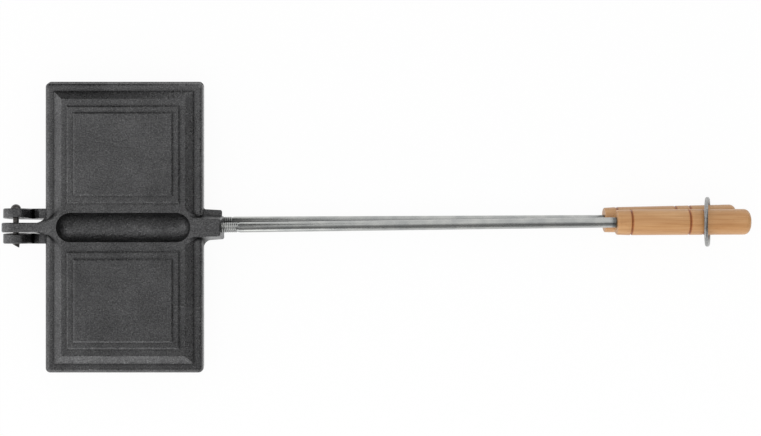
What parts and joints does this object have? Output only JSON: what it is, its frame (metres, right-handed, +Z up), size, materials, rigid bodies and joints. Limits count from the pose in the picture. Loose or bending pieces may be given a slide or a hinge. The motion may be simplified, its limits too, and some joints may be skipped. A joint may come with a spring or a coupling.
{
  "type": "double sandwich iron",
  "caption": "Long-handled cast iron sandwich iron for campfires: hinged halves with twin pockets, threaded rods, turned wooden grips and a sliding oval locking ring.",
  "frame": {"origin": "middle of the bottom of the closed iron's bounding box, level with the lowest point of the locking ring", "axes": "+X from the hinge to the ends of the handles, +Y across the two pockets, +Z up from the lower half to the upper half"},
  "size_m": [0.7066, 0.2758, 0.0604],
  "materials": {
    "cast_iron": "dark grey, seasoned, with a fine sandy casting skin",
    "pin_steel": "hammered, darkened steel",
    "rod_steel": "bright plated, drawn lengthwise",
    "beech": "turned beech with clear varnish and burnt-in grooves",
    "ring_steel": "plain drawn steel wire, welded closed"
  },
  "bodies": {
    "lower": {"lower_shell": "cast_iron", "lower_rod": "rod_steel", "lower_handle": "beech", "hinge_pin": "pin_steel"},
    "upper": {"upper_shell": "cast_iron", "upper_rod": "rod_steel", "upper_handle": "beech"},
    "ring": {"locking_ring": "ring_steel"}
  },
  "joints": [
    {"name": "iron_hinge", "type": "hinge", "parent": "lower", "child": "upper", "pos_m": [-0.33978, 0.00075, 0.0302], "axis": [0, -1, 0], "range_deg": [0, 180]},
    {"name": "ring_slide", "type": "slide", "parent": "lower", "child": "ring", "axis": [1, 0, 0], "range_m": [-0.44, 0.06]}
  ]
}
